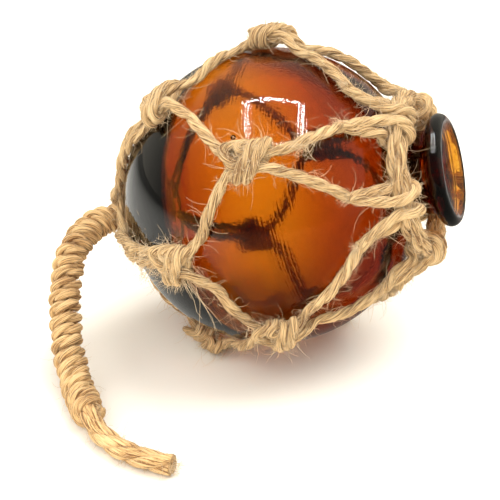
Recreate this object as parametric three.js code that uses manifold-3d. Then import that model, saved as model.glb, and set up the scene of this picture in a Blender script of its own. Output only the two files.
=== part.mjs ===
// A blown glass float ball with an open neck and a flared lip, lying in a knotted net of jute cord.
// Millimetres, +Z up. The ball lies on the plane z = 0 on two pressed knots, and its mouth points
// along +X, tilted up. The origin is below the middle of the ball and its net.

import * as THREE from 'three';
import Module from 'manifold-3d';
import { mergeVertices } from 'three/addons/utils/BufferGeometryUtils.js';

const wasm = await Module();
wasm.setup();

const { degToRad, radToDeg, smoothstep } = THREE.MathUtils;

// Sizes of the glass. The neck length is from the ball's surface to the front of the lip.
const BALL_DIAMETER = 125;
const GLASS_WALL = 3;
const NECK_DIAMETER = 34.4;
const NECK_LENGTH = 16.2;
const NECK_FILLET = 5;
const BORE_DIAMETER = 15;
const LIP_DIAMETER = 46;
const LIP_THICKNESS = 6.8;
const LIP_FLARE = 3.4;
const DISH_DEPTH = 5;
const BORE_CHAMFER = 1;
const MOUTH_TILT = 15;

// Sizes of the cords. In a knot the strands lie a pitch apart and are pressed towards the glass.
// The turns round the neck stand off from it by the collar's gap.
const CORD_DIAMETER = 4.5;
const TOUCH_GAP = 0.35;
const KNOT_SLACK = 0.5;
const KNOT_PRESS = 0.6;
const POLE_PRESS = 0.5;
const REST_PRESS = 1.4;
const HITCH_SLACK = 0.65;
const COLLAR_GAP = 5;
const CUT_END = 8;
const TAIL_DIAMETER = 13.8;
const TAIL_END_DIAMETER = 8.6;

// Where the knots sit: latitude from the pole towards the mouth, longitude from straight below
// towards the front, in degrees. The first knot of the first row and the last one of the second
// row carry the ball.
const FIRST_ROW = [
  { lat: -33, lon: 26.5 },
  { lat: -18.7, lon: 92.5 },
  { lat: -21, lon: 153.5 },
  { lat: -22.5, lon: 234 },
  { lat: -23, lon: 308 },
];
const SECOND_ROW = [
  { lat: 8, lon: 56.5 },
  { lat: 13.7, lon: 123.7 },
  { lat: 12, lon: 189 },
  { lat: 12, lon: 272 },
  { lat: 7, lon: 344.5 },
];

// The tail's route, chosen by hand: out of the ring at the pole, down to the table and along it
const TAIL_ROUTE = [
  [-62.4, 0, 48.6],
  [-69, -2, 48.1],
  [-74.8, -7.3, 48.6],
  [-79, -18.6, 47.6],
  [-80.6, -32, 43],
  [-78.7, -44.1, 34.8],
  [-74.7, -55.7, 25],
  [-69.9, -65, 16],
  [-64.1, -73.4, 9.8],
  [-58.3, -81.6, 7.4],
  [-53.6, -87.9, 7.2],
  [-49.2, -93.6, 7.1],
];
const TAIL_END_ROUTE = [
  [-48.4, -94.6, 6.2],
  [-43.6, -99.2, 5.4],
  [-37, -103.9, 4.7],
  [-28, -108.4, 4.5],
  [-17.6, -110.9, 4.5],
  [-8, -111.8, 4.5],
];

// A strand's way into a knot and out of it: pitches towards the mouth, and pitches above the glass
const KNOT_ENTRY = [[-2.5, 0], [-1.8, 0.55], [-1.1, 1], [0, 1]];
const KNOT_EXIT = [[0, 2], [1.3, 2], [2.1, 1.6], [2.7, 0.8], [3.4, 0]];
const STRAIGHT_IN_KNOT = 1.2;
const LOOP_HALF_WIDTH = 1.5;
const LOOP_SQUARENESS = 2 / 3;

// A cord's fold through the ring at the pole, in pitches: out from the ring, to the side, and above
// the glass. It goes over the ring, down through the hole and back out below the ring.
const POLE_FOLD = [
  [1.6, -0.5, 0.75],
  [0.8, -0.45, 1.95],
  [-0.1, -0.35, 2.3],
  [-0.95, -0.1, 1.7],
  [-1.02, 0, 1],
  [-0.85, 0.1, 0.3],
  [-0.1, 0.35, 0],
  [1.2, 0.5, 0],
];
const POLE_RING_LIFT = 1.06;

// A leg's turn round the cord at the neck, in degrees, and how far it shifts sideways, in pitches
const HITCH_TURNS = [-70, -25, 20, 65, 110, 155, 200, 245];
const HITCH_START = 1.05;
const HITCH_SHIFT = 2;
const HITCH_APPROACH = 2.2;
const HITCH_LEAVE = 2.6;

// How finely round things are faceted
const GLASS_SEGMENTS = 36;
const BALL_STEPS = 13;
const CORD_SIDES = 5;
const TAIL_SIDES = 10;
const RING_SEGMENTS = 30;
const LOOP_STEP = 45;

// Values worked out from the sizes
const R = BALL_DIAMETER / 2;
const NECK_RADIUS = NECK_DIAMETER / 2;
const BORE_RADIUS = BORE_DIAMETER / 2;
const CORD_RADIUS = CORD_DIAMETER / 2;
const PITCH = CORD_DIAMETER + KNOT_SLACK;
const ON_GLASS = TOUCH_GAP + CORD_RADIUS;
const HITCH_RADIUS = CORD_DIAMETER + TOUCH_GAP + HITCH_SLACK;
const NECK_RING_RADIUS = NECK_RADIUS + COLLAR_GAP + ON_GLASS + HITCH_RADIUS;
const NECK_RING_DISTANCE = R + ON_GLASS + HITCH_RADIUS;
const NECK_RING_AXIAL = Math.sqrt(NECK_RING_DISTANCE ** 2 - NECK_RING_RADIUS ** 2);
const NECK_RING_LAT = radToDeg(Math.atan2(NECK_RING_AXIAL, NECK_RING_RADIUS));
const POLE_RING_RADIUS = TAIL_DIAMETER / 2 + TOUCH_GAP + CORD_DIAMETER + ON_GLASS;
const KNOT_HEIGHT = TOUCH_GAP + (ON_GLASS + 3 * PITCH + CORD_RADIUS - TOUCH_GAP) * KNOT_PRESS;

// The frame of the ball: its axis through the mouth, and two directions across it
const TILT = degToRad(MOUTH_TILT);
const AXIS = new THREE.Vector3(Math.cos(TILT), 0, Math.sin(TILT));
const BELOW = new THREE.Vector3(Math.sin(TILT), 0, -Math.cos(TILT));
const FRONT = new THREE.Vector3(0, -1, 0);

// Materials
const glassMaterial = new THREE.MeshStandardMaterial({ color: 0xb4560c, roughness: 0.05, metalness: 0 });
const cordMaterial = new THREE.MeshStandardMaterial({ color: 0xc9a26b, roughness: 0.95, metalness: 0 });
const tailMaterial = new THREE.MeshStandardMaterial({ color: 0xc08d4f, roughness: 0.95, metalness: 0 });

// Directions on the ball

function combine(...terms) {
  const sum = new THREE.Vector3();
  for (const [vector, amount] of terms) {
    sum.addScaledVector(vector, amount);
  }
  return sum;
}

function directionsAt({ lat, lon }) {
  const a = degToRad(lat);
  const b = degToRad(lon);
  const across = combine([BELOW, Math.cos(b)], [FRONT, Math.sin(b)]);
  return {
    out: combine([AXIS, Math.sin(a)], [across, Math.cos(a)]),
    mouthward: combine([AXIS, Math.cos(a)], [across, -Math.sin(a)]),
    sideways: combine([BELOW, -Math.sin(b)], [FRONT, Math.cos(b)]),
  };
}

// A point near a place on the ball: u towards the mouth, v around the ball, h above the glass
function near(place, u, v, h) {
  const { out, mouthward, sideways } = directionsAt(place);
  const direction = combine([out, R], [mouthward, u], [sideways, v]).normalize();
  return direction.multiplyScalar(R + h);
}

// In which direction a far point lies, seen from a place: its v for each step of u
function slopeTo(place, point, startV) {
  const { out, mouthward, sideways } = directionsAt(place);
  const scale = R / point.dot(out);
  return (point.dot(sideways) * scale - startV) / (point.dot(mouthward) * scale);
}

function poleAt(lon) {
  return { lat: -90, lon };
}

// Points between two ends of a stretch that lies on the glass
function alongGlass(start, end, count) {
  const from = start.clone().normalize();
  const turn = new THREE.Quaternion().setFromUnitVectors(from, end.clone().normalize());
  const points = [];
  for (let i = 1; i <= count; i += 1) {
    const part = new THREE.Quaternion().slerp(turn, i / (count + 1));
    points.push(from.clone().applyQuaternion(part).multiplyScalar(R + ON_GLASS));
  }
  return points;
}

// Cords

// A curve that is sampled at its own points, so that they are close in a knot and wide along a bar
class CordCurve extends THREE.CatmullRomCurve3 {
  getUtoTmapping(u) {
    return u;
  }
}

function roundSection(radius, sides) {
  const shape = new THREE.Shape();
  shape.moveTo(radius, 0);
  for (let i = 1; i < sides; i += 1) {
    const angle = (2 * Math.PI * i) / sides;
    shape.lineTo(radius * Math.cos(angle), radius * Math.sin(angle));
  }
  shape.closePath();
  return shape;
}

function tube(points, radius, sides) {
  const curve = new CordCurve(points, false, 'centripetal');
  const steps = points.length - 1;
  return new THREE.ExtrudeGeometry(roundSection(radius, sides), { steps, extrudePath: curve });
}

function signedPower(value, power) {
  return Math.sign(value) * Math.abs(value) ** power;
}

// One of the two strands through an overhand knot, as [u, v, h]. Side is -0.5 or 0.5. The strand
// runs in low, turns out to the side, goes once round the knot and runs out above its own start.
function strandThroughKnot(side, entrySlope, exitSlope) {
  const route = [];
  for (const [u, h] of KNOT_ENTRY) {
    const v = side + entrySlope * Math.min(u + STRAIGHT_IN_KNOT, 0);
    route.push([u, v, h]);
  }
  for (const angle of [45, 90]) {
    const a = degToRad(angle);
    route.push([(1 - side) * Math.sin(a), 1 - (1 - side) * Math.cos(a), 1]);
  }
  for (let angle = 0; angle <= 360; angle += LOOP_STEP) {
    const across = LOOP_HALF_WIDTH * signedPower(Math.cos(degToRad(angle)), LOOP_SQUARENESS);
    const upward = LOOP_HALF_WIDTH * signedPower(Math.sin(degToRad(angle)), LOOP_SQUARENESS);
    route.push([1 - angle / 180 - side, across, LOOP_HALF_WIDTH + upward]);
  }
  for (const angle of [90, 45]) {
    const a = degToRad(angle);
    route.push([-(1 + side) * Math.sin(a), 1 - (1 + side) * Math.cos(a), 2]);
  }
  for (const [u, h] of KNOT_EXIT) {
    const v = -side + exitSlope * Math.max(u - STRAIGHT_IN_KNOT, 0);
    route.push([u, v, h]);
  }
  return route.map(([u, v, h]) => [u * PITCH, v * PITCH, ON_GLASS + h * PITCH]);
}

function knotPoints(place, side, from, to) {
  const entrySlope = slopeTo(place, from, side * PITCH);
  const exitSlope = slopeTo(place, to, -side * PITCH);
  return strandThroughKnot(side, entrySlope, exitSlope).map(([u, v, h]) => near(place, u, v, h));
}

// A leg's turn round the cord at the neck. It ends in a short cut end that lies on the glass.
function neckHitch(place, side) {
  const { out, mouthward, sideways } = directionsAt(place);
  const points = HITCH_TURNS.map((angle, i) => {
    const a = degToRad(angle);
    const shift = side * (HITCH_START + (i / (HITCH_TURNS.length - 1)) * HITCH_SHIFT) * PITCH;
    return combine(
      [out, NECK_RING_DISTANCE + HITCH_RADIUS * Math.cos(a)],
      [mouthward, HITCH_RADIUS * Math.sin(a)],
      [sideways, shift],
    );
  });
  const endShift = side * (HITCH_START + HITCH_SHIFT) * PITCH;
  const leave = HITCH_LEAVE * PITCH;
  points.push(near(place, -leave, endShift, ON_GLASS));
  points.push(near(place, -leave - CUT_END, endShift, ON_GLASS));
  return points;
}

// One leg of a net cord: along the glass from the pole, through a knot of the first row and one of
// the second row, and round the cord at the neck. Side 0.5 starts on the side of rising longitude.
function legPoints(index, side) {
  const count = FIRST_ROW.length;
  const first = FIRST_ROW[index];
  const before = (index + count - 1) % count;
  const after = (index + 1) % count;
  const second = SECOND_ROW[side > 0 ? before : index];
  const neck = { lat: NECK_RING_LAT, lon: FIRST_ROW[side > 0 ? before : after].lon };
  const start = near(poleAt(first.lon), POLE_RING_RADIUS + 3 * PITCH, side * PITCH, ON_GLASS);
  const end = near(neck, -HITCH_APPROACH * PITCH, side * PITCH, ON_GLASS);
  const besideStart = near(first, -3 * PITCH, side * PITCH, 0);
  const throughFirst = knotPoints(first, side, besideStart, near(second, 0, 0, 0));
  const throughSecond = knotPoints(second, side, near(first, 0, 0, 0), near(neck, 0, 0, 0));
  return [
    start,
    ...alongGlass(start, throughFirst[0], 2),
    ...throughFirst,
    ...alongGlass(throughFirst.at(-1), throughSecond[0], 2),
    ...throughSecond,
    ...alongGlass(throughSecond.at(-1), end, 3),
    ...neckHitch(neck, side),
  ];
}

function foldPoints(lon) {
  return POLE_FOLD.map(([u, v, h]) => (
    near(poleAt(lon), POLE_RING_RADIUS + u * PITCH, v * PITCH, ON_GLASS + h * PITCH)
  ));
}

// Cords that cross are pressed together. The press lowers what is stacked over a place on the glass.
function pressCords(geometry) {
  const knot = { inner: 2.6 * PITCH, outer: 4.8 * PITCH, press: KNOT_PRESS };
  const pole = { inner: POLE_RING_RADIUS + PITCH, outer: POLE_RING_RADIUS + 3 * PITCH, press: POLE_PRESS };
  const places = [...FIRST_ROW, ...SECOND_ROW].map((place) => ({ centre: near(place, 0, 0, 0), ...knot }));
  places.push({ centre: near(poleAt(0), 0, 0, 0), ...pole });
  const position = geometry.getAttribute('position');
  const point = new THREE.Vector3();
  for (let i = 0; i < position.count; i += 1) {
    point.fromBufferAttribute(position, i);
    let factor = 1;
    for (const { centre, inner, outer, press } of places) {
      const arcLength = R * point.angleTo(centre);
      factor = Math.min(factor, press + (1 - press) * smoothstep(arcLength, inner, outer));
    }
    const aboveGap = point.length() - R - TOUCH_GAP;
    point.setLength(R + TOUCH_GAP + aboveGap * factor);
    position.setXYZ(i, point.x, point.y, point.z);
  }
  return geometry;
}

// How high the ball's centre is, so that the lowest knot is pressed flat by the table
function restHeight() {
  const depths = [...FIRST_ROW, ...SECOND_ROW].map((place) => -near(place, 0, 0, KNOT_HEIGHT).z);
  return Math.max(...depths) - REST_PRESS;
}

const BALL_HEIGHT = restHeight();

// Solids

function toSolid(geometry) {
  const bare = geometry.clone();
  bare.deleteAttribute('normal');
  bare.deleteAttribute('uv');
  const merged = mergeVertices(bare, 1e-4);
  return new wasm.Manifold(new wasm.Mesh({
    numProp: 3,
    vertProperties: new Float32Array(merged.getAttribute('position').array),
    triVerts: new Uint32Array(merged.getIndex().array),
  }));
}

function toGeometry(solid) {
  const mesh = solid.getMesh();
  const geometry = new THREE.BufferGeometry();
  geometry.setAttribute('position', new THREE.BufferAttribute(new Float32Array(mesh.vertProperties), 3));
  geometry.setIndex(new THREE.BufferAttribute(new Uint32Array(mesh.triVerts), 1));
  geometry.computeVertexNormals();
  return geometry;
}

// The flat spots: what would reach below the table is cut off level with it
function cutAtTable(geometry) {
  const size = 3 * BALL_DIAMETER;
  const ground = new THREE.BoxGeometry(size, size, size);
  ground.translate(0, 0, -BALL_HEIGHT - size / 2);
  return toGeometry(toSolid(geometry).subtract(toSolid(ground)));
}

// The glass, turned about the axis through its mouth

function addArc(points, centre, radius, fromAngle, toAngle, steps) {
  for (let i = 0; i <= steps; i += 1) {
    const a = degToRad(fromAngle + ((toAngle - fromAngle) * i) / steps);
    points.push(new THREE.Vector2(centre.x + radius * Math.cos(a), centre.y + radius * Math.sin(a)));
  }
}

function glassProfile() {
  const points = [];
  const middle = new THREE.Vector2(0, 0);
  const lipReach = R + NECK_LENGTH;
  const fillet = new THREE.Vector2(NECK_RADIUS + NECK_FILLET, 0);
  fillet.y = Math.sqrt((R + NECK_FILLET) ** 2 - fillet.x ** 2);
  const filletStart = radToDeg(fillet.angle());
  const edgeRadius = LIP_THICKNESS / 2;
  const edge = new THREE.Vector2(LIP_DIAMETER / 2 - edgeRadius, lipReach - edgeRadius);
  const flare = new THREE.Vector2(NECK_RADIUS + LIP_FLARE, edge.y - edgeRadius - LIP_FLARE);
  const innerRadius = R - GLASS_WALL;
  const throat = new THREE.Vector2(BORE_RADIUS, Math.sqrt(innerRadius ** 2 - BORE_RADIUS ** 2));
  const dishEnd = new THREE.Vector2(BORE_RADIUS, lipReach - DISH_DEPTH - BORE_CHAMFER);
  const dish = new THREE.QuadraticBezierCurve(
    new THREE.Vector2(edge.x, lipReach),
    new THREE.Vector2(edge.x * 0.6 + BORE_RADIUS * 0.4, lipReach - DISH_DEPTH * 0.7),
    dishEnd,
  );
  addArc(points, middle, R, -90, filletStart, BALL_STEPS);
  addArc(points, fillet, NECK_FILLET, filletStart - 180, -180, 3);
  addArc(points, flare, LIP_FLARE, 180, 90, 2);
  addArc(points, edge, edgeRadius, -90, 90, 6);
  points.push(...dish.getPoints(4).slice(1));
  addArc(points, middle, innerRadius, radToDeg(throat.angle()), -90, BALL_STEPS);
  points[0].x = 0;
  points.at(-1).x = 0;
  return points;
}

function glassBall() {
  const geometry = new THREE.LatheGeometry(glassProfile(), GLASS_SEGMENTS);
  geometry.rotateZ(-Math.PI / 2);
  geometry.rotateY(-TILT);
  return geometry;
}

// A closed ring of cord round the ball's axis, through a point
function ringOfCord(point) {
  const axial = point.dot(AXIS);
  const radius = Math.sqrt(point.lengthSq() - axial ** 2);
  const geometry = new THREE.TorusGeometry(radius, CORD_RADIUS, CORD_SIDES, RING_SEGMENTS);
  geometry.rotateY(Math.PI / 2);
  geometry.translate(axial, 0, 0);
  geometry.rotateY(-TILT);
  return geometry;
}

function netCord(index) {
  const rising = legPoints(index, 0.5);
  const falling = legPoints(index, -0.5);
  const points = [...falling.reverse(), ...foldPoints(FIRST_ROW[index].lon), ...rising];
  return cutAtTable(pressCords(tube(points, CORD_RADIUS, CORD_SIDES)));
}

function freeRope(route, diameter) {
  return tube(route.map((point) => new THREE.Vector3(...point)), diameter / 2, TAIL_SIDES);
}

// The parts, named, and placed where the ball lies

function addPart(group, name, geometry, material) {
  const mesh = new THREE.Mesh(geometry, material);
  mesh.name = name;
  group.add(mesh);
}

const netted = new THREE.Group();
netted.position.z = BALL_HEIGHT;

const neckRingPoint = near({ lat: NECK_RING_LAT, lon: 0 }, 0, 0, NECK_RING_DISTANCE - R);
const poleRingPoint = near(poleAt(0), POLE_RING_RADIUS, 0, ON_GLASS + POLE_RING_LIFT * PITCH);
addPart(netted, 'glass_ball', glassBall(), glassMaterial);
addPart(netted, 'neck_ring_cord', ringOfCord(neckRingPoint), cordMaterial);
addPart(netted, 'pole_ring_cord', pressCords(ringOfCord(poleRingPoint)), cordMaterial);
for (let index = 0; index < FIRST_ROW.length; index += 1) {
  addPart(netted, `net_cord_${index + 1}`, netCord(index), cordMaterial);
}

const model = new THREE.Group();
model.add(netted);
addPart(model, 'tail_whipping', freeRope(TAIL_ROUTE, TAIL_DIAMETER), tailMaterial);
addPart(model, 'tail_rope_end', freeRope(TAIL_END_ROUTE, TAIL_END_DIAMETER), cordMaterial);

// The origin is below the middle of the ball and its net
const box = new THREE.Box3().setFromObject(netted);
model.position.set(-(box.min.x + box.max.x) / 2, -(box.min.y + box.max.y) / 2, 0);

export default model;
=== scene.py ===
# %% [markdown]
# # A glass float ball in a jute net
# A glass float is a hollow ball that a glassblower closes or leaves with a short neck. This one is amber,
# has an open neck with a thick lip, and lies in a net that is knotted from hairy jute cord. A rope tail
# with twine wound round it comes out at the back of the net.
# We build the ropes first, because they are long, then the glass, then the light. All lengths that
# describe the object are in millimetres from the ball's centre, and are turned into metres at the end.

import math

import bmesh
import bpy
import numpy as np
from mathutils import Matrix, Quaternion, Vector


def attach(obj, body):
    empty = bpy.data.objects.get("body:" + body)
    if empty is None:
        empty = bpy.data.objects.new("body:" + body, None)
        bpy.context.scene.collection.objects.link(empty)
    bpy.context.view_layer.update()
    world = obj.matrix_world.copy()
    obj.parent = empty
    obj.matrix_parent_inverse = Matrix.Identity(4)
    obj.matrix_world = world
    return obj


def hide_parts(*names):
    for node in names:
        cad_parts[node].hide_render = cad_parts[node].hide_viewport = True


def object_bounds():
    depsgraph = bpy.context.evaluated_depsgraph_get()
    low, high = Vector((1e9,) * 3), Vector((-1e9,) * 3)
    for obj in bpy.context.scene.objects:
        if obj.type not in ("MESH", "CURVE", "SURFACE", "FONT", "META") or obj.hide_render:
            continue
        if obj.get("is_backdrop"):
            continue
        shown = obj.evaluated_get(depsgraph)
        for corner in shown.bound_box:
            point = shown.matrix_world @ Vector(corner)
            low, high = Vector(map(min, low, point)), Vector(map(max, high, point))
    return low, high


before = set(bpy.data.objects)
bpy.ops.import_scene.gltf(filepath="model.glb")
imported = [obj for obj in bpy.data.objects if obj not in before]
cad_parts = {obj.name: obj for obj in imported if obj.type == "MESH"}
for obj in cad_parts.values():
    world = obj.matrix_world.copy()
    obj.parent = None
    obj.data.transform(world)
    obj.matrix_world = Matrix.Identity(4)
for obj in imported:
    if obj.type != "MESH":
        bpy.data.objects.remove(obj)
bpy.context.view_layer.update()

# %% [markdown]
# ## The camera
# The picture is square, and was taken from the front and above. Its lens is given by how many pixels
# one unit of depth covers. The camera stands a little to the right, looks down at the ball, and is
# held very slightly askew.

# %% The camera
PHOTO_SIDE = 500
FOCAL_PIXELS = 1180
SENSOR_MM = 36.0
CAMERA_AT = Vector((0.11998, -0.43878, 0.27743))
CAMERA_AIM = Vector((-0.01118, -0.0154, 0.04602))
CAMERA_ROLL = math.radians(1.479)


def make_camera():
    data = bpy.data.cameras.new("camera")
    data.sensor_width = SENSOR_MM
    data.lens = SENSOR_MM * FOCAL_PIXELS / PHOTO_SIDE
    data.clip_start = 0.01
    camera = bpy.data.objects.new("camera", data)
    bpy.context.scene.collection.objects.link(camera)
    look = (CAMERA_AIM - CAMERA_AT).to_track_quat("-Z", "Y")
    camera.matrix_world = Matrix.Translation(CAMERA_AT) @ look.to_matrix().to_4x4()
    camera.matrix_world = camera.matrix_world @ Matrix.Rotation(-CAMERA_ROLL, 4, "Z")
    bpy.context.scene.camera = camera
    return camera


camera = make_camera()
print("The camera's lens is", round(camera.data.lens, 1), "mm")

# %% [markdown]
# ## Places on the ball
# Everything in the net lies on the ball, so we name a place by a latitude, counted from the middle of the
# ball towards the mouth, and a longitude, counted from straight below towards the front. Near such a
# place, three small steps are enough: towards the mouth, sideways, and up from the glass.

# %% Places on the ball
MM = 0.001
R = 62.5
CENTRE = np.array((-5.4718, -0.2516, 65.1221))
TILT = math.radians(15)
AXIS = np.array((math.cos(TILT), 0, math.sin(TILT)))
BELOW = np.array((math.sin(TILT), 0, -math.cos(TILT)))
FRONT = np.array((0.0, -1.0, 0.0))
POLE = -90


def directions_at(place):
    """The directions out of the glass, towards the mouth, and sideways."""
    lat, lon = (math.radians(x) for x in place)
    across = BELOW * math.cos(lon) + FRONT * math.sin(lon)
    out = AXIS * math.sin(lat) + across * math.cos(lat)
    mouthward = AXIS * math.cos(lat) - across * math.sin(lat)
    sideways = FRONT * math.cos(lon) - BELOW * math.sin(lon)
    return out, mouthward, sideways


def unit(v):
    return v / np.linalg.norm(v)


def near(place, u, v, h):
    """A point near a place: u towards the mouth, v sideways, h above the glass."""
    out, mouthward, sideways = directions_at(place)
    return unit(out * R + mouthward * u + sideways * v) * (R + h)


print("Straight below the middle is", near((0, 0), 0, 0, 0).round(1))

# %% [markdown]
# ## A smooth way through points
# A rope's route is a short list of points. A Catmull-Rom curve goes through all of them, and in its
# centripetal form it makes no loops where points are close together. We then walk along it in even
# steps, and carry a pair of side directions along that never spins: each step turns the pair just as much
# as the rope itself turns.

# %% A smooth way through points
FINE_STEPS = 14


def smooth_route(points, step):
    """A Catmull-Rom curve through points, in even steps."""
    p = np.array(points, float)
    p = np.vstack([2 * p[0] - p[1], p, 2 * p[-1] - p[-2]])
    fine = []
    for p0, p1, p2, p3 in zip(p, p[1:], p[2:], p[3:]):
        gaps = [math.sqrt(np.linalg.norm(b - a)) for a, b in ((p0, p1), (p1, p2), (p2, p3))]
        t0, t1, t2, t3 = np.cumsum([0] + gaps)
        t = np.linspace(t1, t2, FINE_STEPS, endpoint=False)[:, None]
        a1 = (t1 - t) / (t1 - t0) * p0 + (t - t0) / (t1 - t0) * p1
        a2 = (t2 - t) / (t2 - t1) * p1 + (t - t1) / (t2 - t1) * p2
        a3 = (t3 - t) / (t3 - t2) * p2 + (t - t2) / (t3 - t2) * p3
        b1 = (t2 - t) / (t2 - t0) * a1 + (t - t0) / (t2 - t0) * a2
        b2 = (t3 - t) / (t3 - t1) * a2 + (t - t1) / (t3 - t1) * a3
        fine.append((t2 - t) / (t2 - t1) * b1 + (t - t1) / (t2 - t1) * b2)
    fine = np.vstack(fine + [p[-2][None]])
    return evenly(fine, step)


def evenly(line, step):
    """The same line with its points an equal way apart."""
    along = np.concatenate([[0], np.cumsum(np.linalg.norm(np.diff(line, axis=0), axis=1))])
    at = np.linspace(0, along[-1], max(3, round(along[-1] / step) + 1))
    return np.stack([np.interp(at, along, line[:, k]) for k in range(3)], axis=1)


def length_of(line):
    return float(np.linalg.norm(np.diff(line, axis=0), axis=1).sum())


def carried_frames(line, first_side):
    """Along the line: its direction, and two side directions that don't spin."""
    along = np.gradient(line, axis=0)
    along /= np.linalg.norm(along, axis=1)[:, None]
    side = first_side - along[0] * np.dot(first_side, along[0])
    sides = [unit(side)]
    for before, after in zip(along, along[1:]):
        turn = Vector(before).rotation_difference(Vector(after))
        side = np.array(turn @ Vector(sides[-1]))
        sides.append(unit(side - after * np.dot(side, after)))
    sides = np.array(sides)
    return along, sides, np.cross(along, sides)


corner = smooth_route([(0, 0, 0), (10, 0, 0), (10, 10, 0)], 1)
print("A corner of three points becomes a curve of", len(corner), "points")

# %% [markdown]
# ## The tail's route
# The tail leaves the ring of cord at the back of the net, bends down under its own weight, and lies on the
# table in a curve towards the front. The picture shows it from end to end, so its length is known. The
# route's points are the ones that the solids follow.

# %% The tail's route
ORIGIN_SHIFT = np.array((CENTRE[0], CENTRE[1], 0))
TAIL_ROUTE = [
    (-62.4, 0, 48.6),
    (-69, -2, 48.1),
    (-74.8, -7.3, 48.6),
    (-79, -18.6, 47.6),
    (-80.6, -32, 43),
    (-78.7, -44.1, 34.8),
    (-74.7, -55.7, 25),
    (-69.9, -65, 16),
    (-64.1, -73.4, 9.8),
    (-58.3, -81.6, 7.4),
    (-53.6, -87.9, 7.2),
    (-49.2, -93.6, 7.1),
]
TAIL_END_ROUTE = [
    (-48.4, -94.6, 6.2),
    (-43.6, -99.2, 5.4),
    (-37, -103.9, 4.7),
    (-28, -108.4, 4.5),
    (-17.6, -110.9, 4.5),
    (-8, -111.8, 4.5),
]
TAIL_DIAMETER = 13.8
TAIL_END_DIAMETER = 8.6
TAIL_STEP = 0.7

tail_line = smooth_route(TAIL_ROUTE + TAIL_END_ROUTE[1:], TAIL_STEP) + ORIGIN_SHIFT
wound_length = length_of(smooth_route(TAIL_ROUTE, TAIL_STEP))
tail_length = length_of(tail_line)
tail_along = np.linspace(0, tail_length, len(tail_line))
print("The tail is", round(tail_length, 1), "mm long, of which", round(wound_length, 1), "mm is wound")

# %% [markdown]
# ## Strands from a rolled-up sheet
# Jute cord is two strands, called plies, that are twisted round each other. Each ply is a bundle of
# fibres. We make a ply from a flat grid: one direction of the grid runs along the rope, and the other
# is rolled up into the ply's rounded outline. The plies are pressed against each other, so each is wider
# round the rope than it is thick. A few waves round the outline stand for bundles of fibre.

# %% Strands from a rolled-up sheet
PLY_SIDES = 12
UV_UNIT = 10.0
SAME_PLACE = 1e-7
WAVES, WAVES_HEIGHT = 4, 2.4
RIDGES = (3, 4, 5, 7)
RIDGE_HEIGHT = 0.05
SWELL_EVERY, SWELL = 24, 0.05
LAY_SEED, LAY_WANDER = 7, 0.35
TWO_PLY = (0.42, 0.60, 0.80)


def wandering(rng, along, period, amount):
    """A value that wanders slowly along a rope: a few waves of different lengths, added up."""
    total = np.zeros_like(along)
    for _ in range(WAVES):
        wave = period * rng.uniform(0.6, 1.7)
        total += np.cos(2 * math.pi * (along / wave + rng.random()))
    return total * amount / WAVES_HEIGHT


def fibre_relief(rng, around, along):
    """Ridges of fibre. They turn against the ply's twist, and so run along the cord."""
    total = np.zeros(np.broadcast(around, along).shape)
    for ridges in RIDGES:
        lean = rng.uniform(-0.42, -0.28)
        total += np.cos(ridges * (around + lean * along) + 2 * math.pi * rng.random())
    return 1 + RIDGE_HEIGHT * total / 2


def rolled_mesh(rings, uv_length):
    """A closed tube through rings of points, an array of rings x points x 3, in millimetres."""
    steps, sides = rings.shape[:2]
    bm = bmesh.new()
    bm.loops.layers.uv.new("UVMap")
    bmesh.ops.create_grid(bm, x_segments=steps - 1, y_segments=sides, size=1, calc_uvs=True)
    mesh = bpy.data.meshes.new("strand")
    bm.to_mesh(mesh)
    bm.free()
    flat = np.empty(len(mesh.vertices) * 3)
    mesh.vertices.foreach_get("co", flat)
    flat = flat.reshape(-1, 3)
    ring = np.rint((flat[:, 0] + 1) / 2 * (steps - 1)).astype(int)
    point = np.rint((flat[:, 1] + 1) / 2 * sides).astype(int) % sides
    mesh.vertices.foreach_set("co", (rings[ring, point] * MM).ravel())
    uv = np.empty(len(mesh.loops) * 2)
    mesh.uv_layers[0].data.foreach_get("uv", uv)
    uv[0::2] *= uv_length / UV_UNIT
    mesh.uv_layers[0].data.foreach_set("uv", uv)
    bm = bmesh.new()
    bm.from_mesh(mesh)
    bpy.data.meshes.remove(mesh)
    bmesh.ops.remove_doubles(bm, verts=bm.verts, dist=SAME_PLACE)
    rim = [edge for edge in bm.edges if edge.is_boundary]
    bmesh.ops.holes_fill(bm, edges=rim, sides=0)
    ends = [face for face in bm.faces if len(face.verts) > 4]
    bmesh.ops.poke(bm, faces=ends)
    bmesh.ops.recalc_face_normals(bm, faces=bm.faces)
    return bm


def ply_rings(line, frames, rng, cord_diameter, ply, plies, lay, shape):
    """Rings of points round one ply. shape is the ply's offset, thickness and width, for a cord 1 wide."""
    _, side, other = frames
    along = np.linspace(0, length_of(line), len(line))
    turn = 2 * math.pi * ply / plies - 2 * math.pi * along / lay
    turn = turn + wandering(np.random.default_rng(LAY_SEED), along, 3 * lay, LAY_WANDER)
    outward = side * np.cos(turn)[:, None] + other * np.sin(turn)[:, None]
    tangent = other * np.cos(turn)[:, None] - side * np.sin(turn)[:, None]
    offset, thick, wide = (x * cord_diameter * 0.5 for x in shape)
    swell = 1 + wandering(rng, along, SWELL_EVERY, SWELL)
    around = np.linspace(0, 2 * math.pi, PLY_SIDES, endpoint=False)
    relief = fibre_relief(rng, around[None, :], along[:, None])
    radial = (np.cos(around)[None, :] * thick * relief) * swell[:, None] + offset
    sidewise = (np.sin(around)[None, :] * wide * relief) * swell[:, None]
    return (
        line[:, None, :]
        + outward[:, None, :] * radial[:, :, None]
        + tangent[:, None, :] * sidewise[:, :, None]
    )


print("In a cord 1 wide, each of two plies is", TWO_PLY[1], "thick and", TWO_PLY[2], "wide")

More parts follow.
